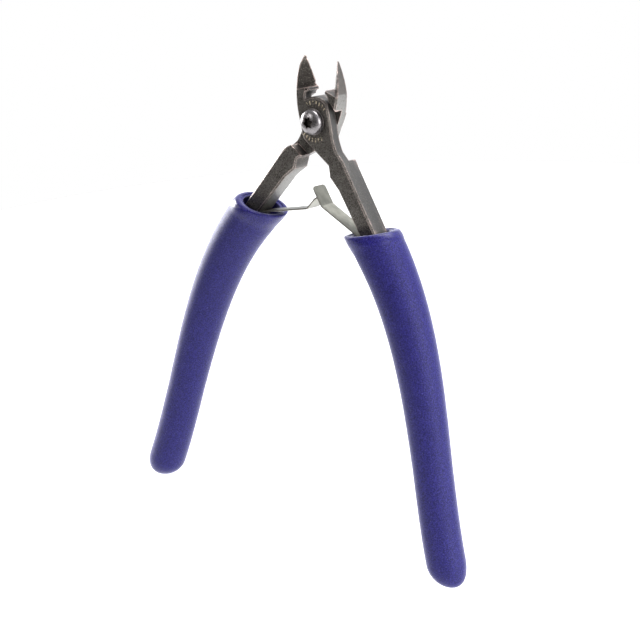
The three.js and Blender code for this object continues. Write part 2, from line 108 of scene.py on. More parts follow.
def angle(name, degrees, description):
    return FloatProperty(
        name=name, description=description, default=math.radians(degrees), subtype="ANGLE"
    )


def plain_number(name, value, description):
    return FloatProperty(name=name, description=description, default=value)


def colour(name, values, description):
    return FloatVectorProperty(
        name=name, description=description, default=values, subtype="COLOR", size=3, min=0, max=1
    )


# ---------------------------------------------------------------- sizes and colours
class GripSizes(bpy.types.PropertyGroup):
    mouth_offset: length("Mouth offset", 11.6, "Middle of the mouth from the parting line, closed")
    mouth_drop: length("Mouth drop", 35.2, "Middle of the mouth below the pivot, closed")
    mouth_lean: angle("Mouth lean", 25.5, "Lean of the grip's centre line at the mouth")
    mouth_pull: length("Mouth pull", 38, "How far the line keeps that lean")
    end_offset: length("End offset", 18.9, "End of the grip from the parting line, closed")
    end_drop: length("End drop", 145.2, "End of the grip below the pivot, closed")
    end_lean: angle("End lean", 4, "Lean of the centre line at the end")
    end_pull: length("End pull", 36, "How far up the line keeps the end's lean")
    rim_lean: angle("Rim lean", -2, "Lean of the rim's own plane, closed")
    rim_settle: length("Rim settle", 10, "Length over which the rings turn square to the line")
    rim_radius: length("Rim radius", 8.5, "Outside radius of the rolled rim")
    neck_radius: length("Neck radius", 7.9, "Outside radius below the rim")
    waist_radius: length("Waist radius", 6.1, "Outside radius of the long lower part")
    flare: length("Flare length", 6, "From the rim to the neck")
    taper: length("Taper length", 69, "From the neck to the waist")
    taper_curve: plain_number("Taper curve", 1.25, "How early the taper is quickest")
    end_round: length("End round", 8, "Length of the rounded end")
    wall: length("Wall", 1.9, "Thickness of the wall inside the mouth")
    lip: length("Lip", 0.6, "How far the rim stands into the mouth")
    lip_depth: length("Lip depth", 3, "Depth over which the lip runs out")
    rim_flat: length("Rim flat", 1.8, "Straight part of the rim")
    end_skew: length("End skew", 1.6, "How far out of line the rounded end runs")
    depth: length("Mouth depth", 8.4, "Depth of the open mouth")
    rim_round: length("Rim rounding", 0.75, "Radius of the rim's outer edge")
    ledge_share: plain_number("Rim ledge", 0.38, "Share of the rim's width taken by its sunk ledge")
    sides: IntProperty(name="Sides", description="Points round the grip", default=72, min=12)


class SpringSizes(bpy.types.PropertyGroup):
    thickness: length("Thickness", 0.5, "Thickness of the spring leaf")
    width: length("Width", 5.8, "Width of the spring leaf")
    corner: length("Corner radius", 1.1, "Radius of the free corners")
    bend: length("Bend radius", 1.2, "Radius of the leaf's bends")
    soft_edge: length("Soft edge", 0.12, "Chamfer along the leaf's long edges")
    root_offset: length("Root offset", 9.244, "First bend from the parting line, closed")
    root_drop: length("Root drop", 36.387, "First bend below the pivot, closed")
    root_lean: angle("Root lean", 19.84, "Lean of the leaf where it lies on the tang")
    root_length: length("Root length", 3.4, "Length that lies on the tang")
    right_reach: length("Right reach", 16.7, "Right spring, first bend to knee")
    right_rise: angle("Right rise", 40.5, "Right spring, rise of that stretch")
    right_tip: length("Right tip", 6.6, "Right spring, knee to free end")
    right_tip_rise: angle("Right tip rise", 71, "Right spring, rise of the free end")
    left_reach: length("Left reach", 18.66, "Left spring, first bend to knee")
    left_rise: angle("Left rise", 32, "Left spring, rise of that stretch")
    left_tip: length("Left tip", 5.2, "Left spring, knee to free end")
    left_tip_rise: angle("Left tip rise", 69, "Left spring, rise of the free end")


class Finishes(bpy.types.PropertyGroup):
    steel: colour("Darkened faces", (0.085, 0.077, 0.069), "Darkened steel of the front and back faces")
    steel_light: colour("Lighter steel", (0.20, 0.188, 0.172), "Lighter specks and patches of those faces")
    steel_tip: colour("Ground bevels", (0.030, 0.024, 0.020), "Bevels of the jaws, above the ledge")
    speck: colour("Specks", (0.34, 0.31, 0.27), "Bright specks in the ground steel")
    # Side colours are painted light and shade: the rear half's sides are painted lighter, as if lit, and
    # the front half's sides darker, as if shaded.
    front_side_shade: colour("Front half's sides", (0.10, 0.098, 0.096), "Edges and sides of the front half")
    rear_side_light: colour("Rear half's sides", (0.26, 0.255, 0.245), "Edges and sides of the rear half")
    # Painted shade on the rear jaw's side above the ledge.
    rear_jaw_side_shade: colour("Rear jaw's side", (0.135, 0.125, 0.118), "Side of the rear jaw above the ledge")
    # Painted shade on the step and side just under the hub, also used as painted shade in the screw's
    # drive socket.
    painted_shade: colour("Under the hub", (0.065, 0.060, 0.056), "Step and side just under the hub")
    worn: colour("Worn edge", (0.60, 0.47, 0.43), "Bare steel on rubbed edges")
    stamped: colour("Stamped strokes", (0.72, 0.60, 0.42), "Bare steel in the stamped strokes")
    polished: colour("Polished steel", (0.27, 0.255, 0.26), "Screw, washer and nut")
    nickel: colour("Nickel", (0.30, 0.298, 0.258), "Return springs")
    cushion: colour("Cushion", (0.0045, 0.003, 0.058), "Grip, in its hollows")
    cushion_light: colour("Cushion, raised", (0.016, 0.013, 0.145), "Grip, on its raised grain")
    floor: colour("Floor", (0.90, 0.90, 0.90), "Pale floor")


class StageSizes(bpy.types.PropertyGroup):
    azimuth: angle("Azimuth", 38.0, "Camera's turn round the tool, from its front")
    elevation: angle("Elevation", 18.12, "Camera's height angle")
    roll: angle("Roll", 3.41, "Camera's roll")
    distance: length("Distance", 560, "Camera to the point it looks at")
    target: FloatVectorProperty(
        name="Target",
        description="Point the camera looks at",
        default=(0.0040, 0.0, -0.06216),
        unit="LENGTH",
        size=3,
    )
    lens: plain_number("Lens", 101.86, "Focal length in millimetres")
    floor_radius: length("Floor radius", 520, "Radius of the round floor")
    floor_room: length("Room under", 17, "Room under the open tool for the handle that swings lowest")
    floor_shift: FloatVectorProperty(
        name="Floor shift",
        description="Middle of the floor from the tool",
        default=(0.12, 0.24),
        unit="LENGTH",
        size=2,
    )


# ---------------------------------------------------------------- where finishes and painted shade give way
# Each pair is where a change of colour begins and where it ends, measured from the pivot. Under the hub,
# beside the handle and in the screw's socket the change is painted shade; above the ledge it darkens the
# jaw bevels and brings the painted shade of the rear jaw's side.
LEDGE_HEIGHT = (8.8 * MM, 9.6 * MM)
HUB_SHADE_HEIGHT = (-17.5 * MM, -14.0 * MM)
HANDLE_SIDE = (-4.5 * MM, -3.5 * MM)
SOCKET_WALL = (1.78 * MM, 1.86 * MM)
SOCKET_MOUTH = (-6.5 * MM, -6.1 * MM)
STROKES_INNER = (5.0 * MM, 5.2 * MM)
STROKES_OUTER = (6.1 * MM, 6.3 * MM)
STROKES_FACE = (-3.3 * MM, -3.25 * MM)

# A share that is full at the start of such a pair and none at its end.
FALLING = (1.0, 0.0)

STROKES_PER_TURN = 30.0

# How squarely a surface faces the front or back: below the first it is a side, which takes painted light
# and shade.
FLAT_FACE = (0.30, 0.50)

# How far rubbed bare steel reaches in from an edge.
HALF_WEAR_REACH = 0.42 * MM
FITTING_WEAR_REACH = 0.16 * MM

# Noise, in bumps per metre.
GRAIN_BUMPS = 3200
MOTTLE_BUMPS = 300
SPECK_BUMPS = 5200
UPRIGHT_LINE_BUMPS = 900
LEVEL_LINE_BUMPS = 800
WEAR_BUMPS = 700
STROKE_WEAR_BUMPS = 1500
FLOOR_BUMPS = 3
FLOOR_SHADE = 0.985

# Lights: name, place and width in metres, power in watts.
LIGHTS = (
    ("overhead", (0.10, 0.25, 0.75), 0.60, 9.0),
    ("right_side", (0.75, -0.05, 0.15), 0.45, 5.0),
    ("front_left", (-0.45, -0.75, 0.35), 0.35, 2.2),
    ("left_low", (-0.80, 0.10, -0.02), 0.35, 8.0),
)

# Surroundings: their colour, the darker part and where it lies, and the colour seen behind the tool.
ROOM_COLOUR = (0.95, 0.96, 1.0)
ROOM_DARK_COLOUR = (0.13, 0.125, 0.12)
ROOM_DARK_TOWARDS = (-0.45, -0.85, -0.12)
ROOM_SEEN_COLOUR = (1.0, 1.0, 1.0)

# Meshes: width of the finely broken edges, and the turns that count as flat and as sharp.
HALF_EDGE = 0.12 * MM
FITTING_EDGE = 0.08 * MM
FLAT_WITHIN = math.radians(1.0)
BROKEN_FROM = math.radians(25)
SHARP_FROM = math.radians(32)


# ---------------------------------------------------------------- shader building blocks
def new_group(name, inputs, outputs):
    """A shader node group with float or colour sockets, given as (name, type, default)."""
    group = bpy.data.node_groups.new(name, "ShaderNodeTree")
    for label, kind, default in inputs:
        socket = group.interface.new_socket(label, in_out="INPUT", socket_type=kind)
        if default is not None:
            socket.default_value = default
    for label, kind in outputs:
        group.interface.new_socket(label, in_out="OUTPUT", socket_type=kind)
    ends = group.nodes.new("NodeGroupInput"), group.nodes.new("NodeGroupOutput")
    return group, ends[0], ends[1]


def math_node(tree, operation, *values):
    """The result of one operation on numbers and sockets."""
    node = tree.nodes.new("ShaderNodeMath")
    node.operation = operation
    for socket, value in zip(node.inputs, values):
        if isinstance(value, (int, float)):
            socket.default_value = value
        else:
            tree.links.new(value, socket)
    return node.outputs[0]


def spread(tree, value, low, high, to_low=0.0, to_high=1.0):
    """Eases from one value to another as the input goes from low to high."""
    node = tree.nodes.new("ShaderNodeMapRange")
    node.interpolation_type = "SMOOTHSTEP"
    tree.links.new(value, node.inputs["Value"])
    node.inputs["From Min"].default_value = low
    node.inputs["From Max"].default_value = high
    node.inputs["To Min"].default_value = to_low
    node.inputs["To Max"].default_value = to_high
    return node.outputs["Result"]


def mix_colour(tree, share, first, second):
    """A colour from first, where the share is 0, to second, where it is 1."""
    node = tree.nodes.new("ShaderNodeMix")
    node.data_type = "RGBA"
    tree.links.new(share, node.inputs["Factor"])
    for socket, value in ((node.inputs["A"], first), (node.inputs["B"], second)):
        if hasattr(value, "is_output"):
            tree.links.new(value, socket)
        else:
            socket.default_value = (*value, 1)
    return node.outputs["Result"]


def noise(tree, position, scale, detail=3.0, stretch=None):
    """Noise over a position in metres; `scale` is in bumps per metre."""
    if stretch is not None:
        squeeze = tree.nodes.new("ShaderNodeVectorMath")
        squeeze.operation = "MULTIPLY"
        tree.links.new(position, squeeze.inputs[0])
        squeeze.inputs[1].default_value = stretch
        position = squeeze.outputs[0]
    node = tree.nodes.new("ShaderNodeTexNoise")
    tree.links.new(position, node.inputs["Vector"])
    node.inputs["Scale"].default_value = scale
    node.inputs["Detail"].default_value = detail
    return node.outputs["Fac"]


def distance_from_pivot(tree, x, z):
    """Distance from the pivot's axis, in metres."""
    squares = [math_node(tree, "MULTIPLY", value, value) for value in (x, z)]
    return math_node(tree, "SQRT", math_node(tree, "ADD", *squares))


def grain_group():
    """Fine grain at two scales with slow mottling, as values from 0 to 1."""
    group, start, end = new_group(
        "Grain and mottle",
        [("Position", "NodeSocketVector", None), ("Fineness", "NodeSocketFloat", 1.0)],
        [("Grain", "NodeSocketFloat"), ("Mottle", "NodeSocketFloat"), ("Specks", "NodeSocketFloat")],
    )
    scaled = group.nodes.new("ShaderNodeVectorMath")
    scaled.operation = "SCALE"
    group.links.new(start.outputs["Position"], scaled.inputs[0])
    group.links.new(start.outputs["Fineness"], scaled.inputs["Scale"])
    spot = scaled.outputs[0]
    group.links.new(noise(group, spot, GRAIN_BUMPS, 4), end.inputs["Grain"])
    group.links.new(noise(group, spot, MOTTLE_BUMPS, 3), end.inputs["Mottle"])
    specks = noise(group, spot, SPECK_BUMPS, 1)
    group.links.new(spread(group, specks, 0.62, 0.74), end.inputs["Specks"])
    return group


def scratch_group():
    """Long fine grinding lines, upright and level, from 0 to 1."""
    group, start, end = new_group(
        "Grinding lines",
        [("Position", "NodeSocketVector", None)],
        [("Lines", "NodeSocketFloat")],
    )
    position = start.outputs["Position"]
    upright = noise(group, position, UPRIGHT_LINE_BUMPS, 2, (6.0, 6.0, 0.35))
    level = noise(group, position, LEVEL_LINE_BUMPS, 2, (0.5, 5.0, 6.0))
    lines = math_node(
        group, "MAXIMUM", spread(group, upright, 0.5, 0.75), spread(group, level, 0.52, 0.8)
    )
    group.links.new(lines, end.inputs["Lines"])
    return group


def edge_group():
    """How near a point is to a sharp edge, broken up by noise: 0 on flats, 1 on rubbed edges."""
    group, start, end = new_group(
        "Rubbed edges",
        [
            ("Position", "NodeSocketVector", None),
            ("Reach", "NodeSocketFloat", 0.0003),
            ("Wear", "NodeSocketFloat", 1.0),
        ],
        [("Mask", "NodeSocketFloat")],
    )
    rounded = group.nodes.new("ShaderNodeBevel")
    rounded.samples = 6
    group.links.new(start.outputs["Reach"], rounded.inputs["Radius"])
    surface = group.nodes.new("ShaderNodeNewGeometry")
    facing = group.nodes.new("ShaderNodeVectorMath")
    facing.operation = "DOT_PRODUCT"
    group.links.new(rounded.outputs[0], facing.inputs[0])
    group.links.new(surface.outputs["True Normal"], facing.inputs[1])
    turned = math_node(group, "SUBTRACT", 1.0, facing.outputs["Value"])
    near = spread(group, turned, 0.01, 0.09)
    broken = spread(group, noise(group, start.outputs["Position"], WEAR_BUMPS, 4), 0.38, 0.62, 0.25, 1.0)
    worn = math_node(group, "MULTIPLY", near, broken)
    group.links.new(math_node(group, "MULTIPLY", worn, start.outputs["Wear"]), end.inputs["Mask"])
    return group


def marks_group():
    """Two arcs of short plain strokes stamped round the screw on the front face, from 0 to 1."""
    group, start, end = new_group(
        "Stamped strokes",
        [("Position", "NodeSocketVector", None)],
        [("Mask", "NodeSocketFloat")],
    )
    apart = group.nodes.new("ShaderNodeSeparateXYZ")
    group.links.new(start.outputs["Position"], apart.inputs[0])
    x, y, z = apart.outputs
    reach = distance_from_pivot(group, x, z)
    inside = spread(group, reach, *STROKES_INNER)
    outside = spread(group, reach, *STROKES_OUTER, *FALLING)
    turn = math_node(group, "ARCTAN2", x, z)
    strokes = math_node(group, "SINE", math_node(group, "MULTIPLY", turn, STROKES_PER_TURN))
    stroke = spread(group, strokes, 0.45, 0.8)
    tall = spread(group, math_node(group, "ABSOLUTE", math_node(group, "COSINE", turn)), 0.72, 0.80)
    front = spread(group, y, *STROKES_FACE, *FALLING)
    mask = math_node(group, "MULTIPLY", inside, outside)
    broken = spread(group, noise(group, start.outputs["Position"], STROKE_WEAR_BUMPS, 2), 0.42, 0.52)
    for part in (stroke, tall, front, broken):
        mask = math_node(group, "MULTIPLY", mask, part)
    group.links.new(mask, end.inputs["Mask"])
    return group


GROUP_MAKERS = {
    "Grain and mottle": grain_group,
    "Grinding lines": scratch_group,
    "Rubbed edges": edge_group,
    "Stamped strokes": marks_group,
}


def use_group(tree, name, **values):
    """Outputs of a shared node group, which is made when it is first asked for."""
    group = bpy.data.node_groups.get(name) or GROUP_MAKERS[name]()
    node = tree.nodes.new("ShaderNodeGroup")
    node.node_tree = group
    for label, value in values.items():
        if isinstance(value, (int, float)):
            node.inputs[label].default_value = value
        else:
            tree.links.new(value, node.inputs[label])
    return node.outputs


def new_material(name):
    """A material with one shader: the material, its node tree, the shader and the position."""
    material = bpy.data.materials.new(name)
    material.use_nodes = True
    tree = material.node_tree
    shader = tree.nodes["Principled BSDF"]
    position = tree.nodes.new("ShaderNodeTexCoord").outputs["Object"]
    return material, tree, shader, position


def add_bump(tree, shader, height, strength, distance):
    """Fine relief that is too small to model; the distance is in metres."""
    node = tree.nodes.new("ShaderNodeBump")
    node.inputs["Strength"].default_value = strength
    node.inputs["Distance"].default_value = distance
    tree.links.new(height, node.inputs["Height"])
    tree.links.new(node.outputs[0], shader.inputs["Normal"])


def facing_side(tree):
    """1 where a surface faces straight out of the front or back, 0 on the sides."""
    normal = tree.nodes.new("ShaderNodeTexCoord").outputs["Normal"]
    apart = tree.nodes.new("ShaderNodeSeparateXYZ")
    tree.links.new(normal, apart.inputs[0])
    return math_node(tree, "ABSOLUTE", apart.outputs["Y"])


def ground_steel(name, is_front, side_lighting_colour, jaw_side_shade_colour):
    """Darkened ground steel: dull faces and darker jaw bevels, with painted light and shade on the sides
    and painted shade under the rear half's hub.
    """
    looks = bpy.context.scene.pliers_finishes
    material, tree, shader, position = new_material(name)
    apart = tree.nodes.new("ShaderNodeSeparateXYZ")
    tree.links.new(position, apart.inputs[0])
    x, height_up = apart.outputs["X"], apart.outputs["Z"]
    grain = use_group(tree, "Grain and mottle", Position=position, Fineness=0.75)
    lines = use_group(tree, "Grinding lines", Position=position)["Lines"]
    edges = use_group(tree, "Rubbed edges", Position=position, Reach=HALF_WEAR_REACH, Wear=1.0)["Mask"]
    patches = spread(tree, grain["Mottle"], 0.40, 0.85, 0.0, 0.5)
    above_ledge = spread(tree, height_up, *LEDGE_HEIGHT)
    hub_shade_height = spread(tree, height_up, *HUB_SHADE_HEIGHT)
    handle_side = spread(tree, x, *HANDLE_SIDE, *FALLING)
    face = mix_colour(tree, patches, looks.steel, looks.steel_light)
    mottled = spread(tree, grain["Grain"], 0.44, 0.62, 0.0, 0.5)
    face = mix_colour(tree, mottled, face, looks.steel_light)
    pits = spread(tree, grain["Grain"], 0.34, 0.48, 0.75, 0.0)
    face = mix_colour(tree, pits, face, looks.steel_tip)
    bevelled = math_node(tree, "MULTIPLY", above_ledge, 0.8)
    face = mix_colour(tree, bevelled, face, looks.steel_tip)
    body = mix_colour(tree, math_node(tree, "MULTIPLY", grain["Specks"], 0.9), face, looks.speck)
    # Painted light and shade on the sides, with the rear jaw side's painted shade above the ledge.
    sides = mix_colour(tree, above_ledge, side_lighting_colour, jaw_side_shade_colour)
    # Painted shade on the rear half's step and side just under the hub.
    if not is_front:
        under = math_node(tree, "MULTIPLY", hub_shade_height, handle_side)
        sides = mix_colour(tree, under, sides, looks.painted_shade)
    rougher = math_node(tree, "MULTIPLY", grain["Specks"], 0.5)
    sides = mix_colour(tree, rougher, sides, looks.speck)
    sides = mix_colour(tree, pits, sides, looks.steel)
    # Surfaces that face sideways take the painted side light and shade in place of the face colour.
    side = spread(tree, facing_side(tree), *FLAT_FACE, *FALLING)
    body = mix_colour(tree, side, body, sides)
    body = mix_colour(tree, math_node(tree, "MULTIPLY", lines, 0.2), body, looks.steel_light)
    height = math_node(tree, "ADD", grain["Grain"], math_node(tree, "MULTIPLY", lines, 0.6))
    if is_front:
        marks = use_group(tree, "Stamped strokes", Position=position)["Mask"]
        body = mix_colour(tree, math_node(tree, "MULTIPLY", marks, 0.9), body, looks.stamped)
        height = math_node(tree, "SUBTRACT", height, math_node(tree, "MULTIPLY", marks, 2.5))
    body = mix_colour(tree, edges, body, looks.worn)
    tree.links.new(body, shader.inputs["Base Color"])
    rough = spread(tree, grain["Grain"], 0.3, 0.7, 0.36, 0.54)
    tree.links.new(math_node(tree, "SUBTRACT", rough, math_node(tree, "MULTIPLY", edges, 0.12)),
                   shader.inputs["Roughness"])
    shader.inputs["Metallic"].default_value = 0.88
    add_bump(tree, shader, height, 0.6, 0.00005)
    return material


def socket_shade(tree, position):
    """Where the screw's drive socket gets painted shade: 1 inside the socket, 0 elsewhere."""
    apart = tree.nodes.new("ShaderNodeSeparateXYZ")
    tree.links.new(position, apart.inputs[0])
    x, y, z = apart.outputs
    reach = distance_from_pivot(tree, x, z)
    near = spread(tree, reach, *SOCKET_WALL, *FALLING)
    deep = spread(tree, y, *SOCKET_MOUTH)
    return math_node(tree, "MULTIPLY", near, deep)


def bright_steel(name, base, rough_low, rough_high, socket=False):
    """Polished or plated steel, between two roughnesses, with painted shade in the drive socket if asked.
    """
    looks = bpy.context.scene.pliers_finishes
    material, tree, shader, position = new_material(name)
    grain = use_group(tree, "Grain and mottle", Position=position, Fineness=1.3)
    lines = use_group(tree, "Grinding lines", Position=position)["Lines"]
    edges = use_group(tree, "Rubbed edges", Position=position, Reach=FITTING_WEAR_REACH, Wear=0.7)["Mask"]
    duller = tuple(0.72 * value for value in base)
    body = mix_colour(tree, spread(tree, grain["Mottle"], 0.3, 0.75), base, duller)
    body = mix_colour(tree, edges, body, looks.worn)
    if socket:
        # Painted shade in the drive socket.
        body = mix_colour(tree, socket_shade(tree, position), body, looks.painted_shade)
    tree.links.new(body, shader.inputs["Base Color"])
    tree.links.new(spread(tree, grain["Grain"], 0.3, 0.7, rough_low, rough_high),
                   shader.inputs["Roughness"])
    shader.inputs["Metallic"].default_value = 1.0
    height = math_node(tree, "ADD", grain["Grain"], math_node(tree, "MULTIPLY", lines, 0.5))
    add_bump(tree, shader, height, 0.15, 0.00003)
    return material


def cushion_vinyl(name):
    """Hazy vinyl with a fine raised grain, glossier round the rim."""
    looks = bpy.context.scene.pliers_finishes
    material, tree, shader, position = new_material(name)
    grain = use_group(tree, "Grain and mottle", Position=position, Fineness=0.8)
    fine = use_group(tree, "Grain and mottle", Position=position, Fineness=1.2)
    rim = tree.nodes.new("ShaderNodeAttribute")
    rim.attribute_name = "rim"
    shine = rim.outputs["Fac"]
    raised = spread(tree, grain["Grain"], 0.36, 0.66)
    body = mix_colour(tree, raised, looks.cushion, looks.cushion_light)
    haze = tuple(min(1.0, value * 2.0 + 0.09) for value in looks.cushion_light)
    body = mix_colour(tree, math_node(tree, "MULTIPLY", fine["Specks"], 0.6), body, haze)
    body = mix_colour(tree, spread(tree, grain["Mottle"], 0.45, 0.8, 0.0, 0.25), body, looks.cushion)
    tree.links.new(body, shader.inputs["Base Color"])
    rough = spread(tree, fine["Grain"], 0.3, 0.7, 0.48, 0.66)
    tree.links.new(math_node(tree, "SUBTRACT", rough, math_node(tree, "MULTIPLY", shine, 0.24)),
                   shader.inputs["Roughness"])
    shader.inputs["Sheen Weight"].default_value = 0.8
    shader.inputs["Sheen Roughness"].default_value = 0.32
    shader.inputs["Specular IOR Level"].default_value = 0.25
    shader.inputs["Sheen Tint"].default_value = (0.72, 0.72, 0.95, 1)
    height = math_node(tree, "ADD", grain["Grain"], math_node(tree, "MULTIPLY", fine["Grain"], 0.6))
    calmer = spread(tree, shine, 0.0, 1.0, 1.0, 0.45)
    add_bump(tree, shader, math_node(tree, "MULTIPLY", height, calmer), 0.55, 0.00012)
    return material


# ---------------------------------------------------------------- mesh building blocks
def new_piece(name, shape, material):
    """A mesh object from a bmesh, smooth shaded with its sharp edges kept."""
    bmesh.ops.recalc_face_normals(shape, faces=shape.faces[:])
    mesh = bpy.data.meshes.new(name)
    shape.to_mesh(mesh)
    shape.free()
    mesh.materials.append(material)
    mesh.shade_smooth()
    mesh.set_sharp_from_angle(angle=SHARP_FROM)
    piece = bpy.data.objects.new(name, mesh)
    bpy.context.scene.collection.objects.link(piece)
    return piece


def skin(shape, rings):
    """Quads between rings of bmesh points, with the end rings filled."""
    count = len(rings[0])
    for lower, upper in zip(rings, rings[1:]):
        for i in range(count):
            k = (i + 1) % count
            shape.faces.new((lower[i], lower[k], upper[k], upper[i]))
    shape.faces.new(rings[0])
    shape.faces.new(rings[-1])


def broken_edges(node, name, material, width):
    """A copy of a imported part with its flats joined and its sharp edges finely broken."""
    shape = bmesh.new()
    shape.from_mesh(frame["nodes"][node].data)
    bmesh.ops.remove_doubles(shape, verts=shape.verts[:], dist=1e-6)
    bmesh.ops.dissolve_limit(
        shape, angle_limit=FLAT_WITHIN, verts=shape.verts[:], edges=shape.edges[:]
    )
    paired = [edge for edge in shape.edges if len(edge.link_faces) == 2]
    sharp = [edge for edge in paired if edge.calc_face_angle(0) > BROKEN_FROM]
    bmesh.ops.bevel(
        shape,
        geom=sharp,
        offset=width,
        offset_type="OFFSET",
        segments=2,
        profile=0.6,
        affect="EDGES",
        clamp_overlap=True,
    )
    bmesh.ops.triangulate(shape, faces=[f for f in shape.faces if len(f.verts) > 4])
    piece = new_piece(name, shape, material)
    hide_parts(node)
    return piece


# ---------------------------------------------------------------- grips
class GripLine:
    """Centre line of a grip in its half's closed frame, with places along it by distance."""

    def __init__(self, sizes):
        lean_in, lean_out = sizes.mouth_lean, sizes.end_lean
        mouth = Vector((sizes.mouth_offset, -sizes.mouth_drop))
        end = Vector((sizes.end_offset, -sizes.end_drop))
        pull_in = Vector((math.sin(lean_in), -math.cos(lean_in))) * sizes.mouth_pull
        pull_out = Vector((-math.sin(lean_out), math.cos(lean_out))) * sizes.end_pull
        self.corners = (mouth, mouth + pull_in, end + pull_out, end)
        steps = 400
        self.points = [self.bezier(i / steps) for i in range(steps + 1)]
        self.reached = [0.0]
        for first, second in zip(self.points, self.points[1:]):
            self.reached.append(self.reached[-1] + (second - first).length)
        self.length = self.reached[-1]

    def bezier(self, t):
        a, b, c, d = self.corners
        s = 1 - t
        return a * s**3 + b * 3 * s * s * t + c * 3 * s * t * t + d * t**3

    def at(self, distance):
        """The point at a distance from the mouth, and the line's lean there."""
        inside = min(max(distance, 0.0), self.length)
        low, high = 0, len(self.reached) - 1
        while high - low > 1:
            middle = (low + high) // 2
            if self.reached[middle] <= inside:
                low = middle
            else:
                high = middle
        span = self.reached[high] - self.reached[low]
        share = (inside - self.reached[low]) / span
        along = (self.points[high] - self.points[low]).normalized()
        point = self.points[low].lerp(self.points[high], share) + along * (distance - inside)
        return point, math.atan2(along.x, -along.y)


def grip_radius(sizes, line, distance):
    """Outside radius of the grip at a distance from its mouth, without the rim's rounding."""
    if distance < sizes.flare:
        share = smooth_share((distance - sizes.rim_flat) / (sizes.flare - sizes.rim_flat))
        return sizes.rim_radius + (sizes.neck_radius - sizes.rim_radius) * share
    fallen = min(1.0, (distance - sizes.flare) / sizes.taper)
    slimmed = 1 - (1 - fallen) ** sizes.taper_curve
    body = sizes.neck_radius + (sizes.waist_radius - sizes.neck_radius) * slimmed
    left = max(0.0, 1 - (line.length - distance) / sizes.end_round)
    return body * math.sqrt(max(0.0, 1 - left * left))


def grip_profile(sizes, line):
    """(distance, radius) round the wall: up the inside of the mouth, over the rim, to the end."""

    def inner(distance):
        lip = sizes.lip * (1 - smooth_share(distance / sizes.lip_depth))
        return grip_radius(sizes, line, max(distance, sizes.rim_flat)) - sizes.wall - lip

    floor_shares = (0.3, 0.7, 0.92, 1.0)
    wall_shares = (0.85, 0.6, 0.4, 0.25, 0.15)
    profile = [(sizes.depth, inner(sizes.depth) * share) for share in floor_shares]
    for share in wall_shares:
        profile.append((sizes.depth * share, inner(sizes.depth * share)))
    rim = sizes.rim_radius
    mouth = rim - sizes.wall - sizes.lip
    ledge = (rim - mouth) * sizes.ledge_share
    # The sunk ledge inside the rim, from its foot out to the lip of the rim.
    profile += [
        (0.62 * MM, mouth),
        (0.46 * MM, mouth + 0.08 * MM),
        (0.42 * MM, mouth + ledge * 0.7),
        (0.32 * MM, mouth + ledge),
        (0.08 * MM, mouth + ledge + 0.06 * MM),
        (0.0, mouth + ledge + 0.2 * MM),
    ]
    turn_steps = 6
    first_ring, ring_step = 1.4 * MM, 0.6 * MM
    round_size = sizes.rim_round
    for i in range(turn_steps + 1):
        turn = math.pi / 2 * i / turn_steps
        profile.append((round_size * (1 - math.cos(turn)), rim - round_size * (1 - math.sin(turn))))
    distance = first_ring
    while distance < sizes.flare:
        profile.append((distance, grip_radius(sizes, line, distance)))
        distance += ring_step
    body_steps = 56
    body_end = line.length - sizes.end_round
    for i in range(body_steps + 1):
        distance = sizes.flare + (body_end - sizes.flare) * i / body_steps
        profile.append((distance, grip_radius(sizes, line, distance)))
    cap_steps = 12
    cap_turn = math.pi / 2 * 0.985  # stops just short of a point, so that the last ring has a size
    for i in range(1, cap_steps + 1):
        distance = body_end + sizes.end_round * math.sin(cap_turn * i / cap_steps)
        profile.append((distance, grip_radius(sizes, line, distance)))
    return profile


def build_grip(sizes, side, name, material):
    """One cushioned grip with its open mouth, lofted round its centre line."""
    line = GripLine(sizes)
    gloss_to, gloss_fade = 2.5 * MM, 4 * MM
    shape = bmesh.new()
    rim_layer = shape.verts.layers.float.new("rim")
    rings = []
    for distance, radius in grip_profile(sizes, line):
        middle, lean = line.at(distance)
        into_end = max(0.0, 1 - (line.length - distance) / sizes.end_round)
        middle.x += sizes.end_skew * into_end**2
        lean = sizes.rim_lean + (lean - sizes.rim_lean) * smooth_share(distance / sizes.rim_settle)
        ring = []
        for i in range(sizes.sides):
            turn = 2 * math.pi * i / sizes.sides
            across = radius * math.cos(turn)
            point = place(
                side,
                middle.x + across * math.cos(lean),
                radius * math.sin(turn),
                middle.y + across * math.sin(lean),
            )
            vertex = shape.verts.new(point)
            vertex[rim_layer] = 1 - smooth_share((distance - gloss_to) / gloss_fade)
            ring.append(vertex)
        rings.append(ring)
    skin(shape, rings)
    return new_piece(name, shape, material)


# ---------------------------------------------------------------- return springs
def rounded_path(points, radius, steps=8):
    """A polyline in (across, height) with each inner corner turned into an arc."""
    path = [points[0]]
    for before, corner, after in zip(points, points[1:], points[2:]):
        into = (corner - before).normalized()
        out = (after - corner).normalized()
        turn = into.angle(out)
        cut = radius * math.tan(turn / 2)
        start, stop = corner - into * cut, corner + out * cut
        for i in range(steps + 1):
            share = i / steps
            s = 1 - share
            path.append(start * s * s + corner * 2 * s * share + stop * share * share)
    path.append(points[-1])
    return path


